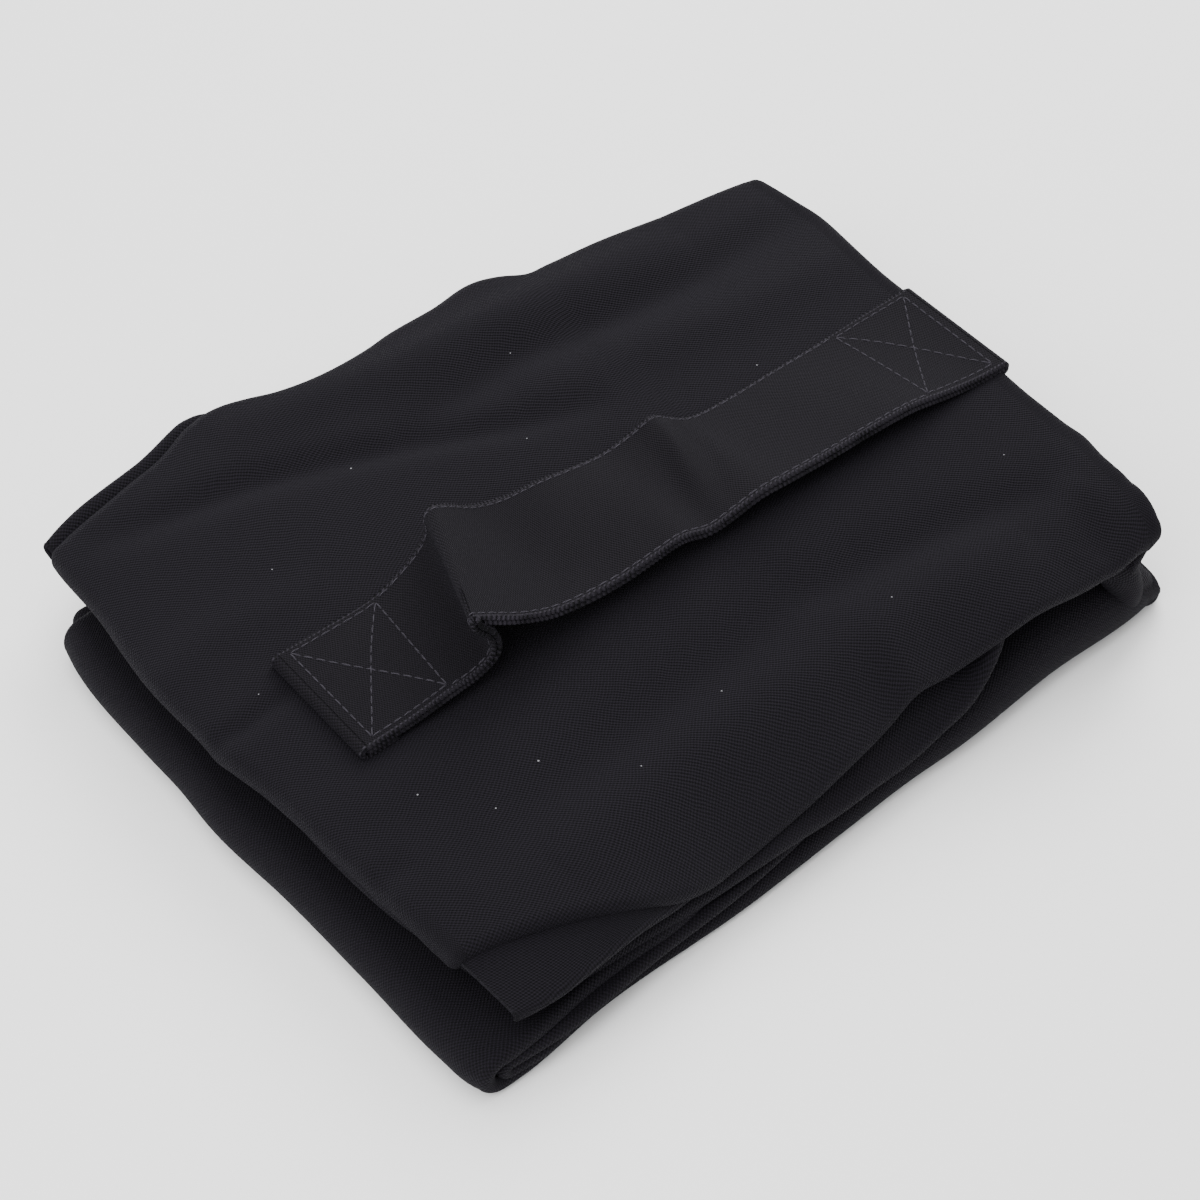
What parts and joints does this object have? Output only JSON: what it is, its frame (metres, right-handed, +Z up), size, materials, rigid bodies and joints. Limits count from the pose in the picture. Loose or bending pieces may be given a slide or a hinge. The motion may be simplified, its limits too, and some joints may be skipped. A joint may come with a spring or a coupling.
{
  "type": "sandbag",
  "caption": "Empty canvas sandbag folded in half, with a webbing carrying strap sewn across the top, for weighting studio stands once filled.",
  "frame": {"origin": "middle of the folded pack's footprint, on the surface it lies on", "axes": "+X along the strap from the free ends to the fold, +Y to the rear edge, +Z up"},
  "size_m": [0.243, 0.2, 0.0541],
  "materials": {
    "canvas": "matt plain-weave cotton duck, bluish black",
    "webbing": "matt ribbed cotton webbing, bluish black",
    "thread": "twisted polyester thread, dark grey",
    "hook_and_loop": "black hook and loop tape"
  },
  "bodies": {
    "lower_half": {"front_panel_lower": "canvas", "back_panel_lower": "canvas", "side_seam_front_lower": "canvas", "side_seam_rear_lower": "canvas", "mouth_hem_front": "canvas", "mouth_hem_back": "canvas", "hook_tape": "hook_and_loop", "loop_tape": "hook_and_loop", "mouth_stitching": "thread", "front_panel_fold": "canvas", "back_panel_fold": "canvas"},
    "upper_half": {"bottom_seam": "canvas", "front_panel_upper": "canvas", "back_panel_upper": "canvas", "side_seam_front_upper": "canvas", "side_seam_rear_upper": "canvas", "patch_left": "canvas", "patch_right": "canvas", "turned_end_left": "webbing", "turned_end_right": "webbing", "webbing_lower_left": "webbing", "webbing_lower_right": "webbing", "webbing_upper_left": "webbing", "webbing_upper_right": "webbing", "box_stitch_left": "thread", "box_stitch_right": "thread"},
    "handle": {"handle_webbing_lower": "webbing", "handle_webbing_upper": "webbing", "handle_edge_stitching": "thread"}
  },
  "joints": [
    {"name": "unfold", "type": "hinge", "parent": "lower_half", "child": "upper_half", "pos_m": [0.1135, 0, 0.024], "axis": [0, 1, 0], "range_deg": [0, 170], "deforming": ["front_panel_fold", "back_panel_fold"]},
    {"name": "handle_lift", "type": "slide", "parent": "upper_half", "child": "handle", "axis": [0, 0, 1], "range_m": [0, 0.03]}
  ]
}
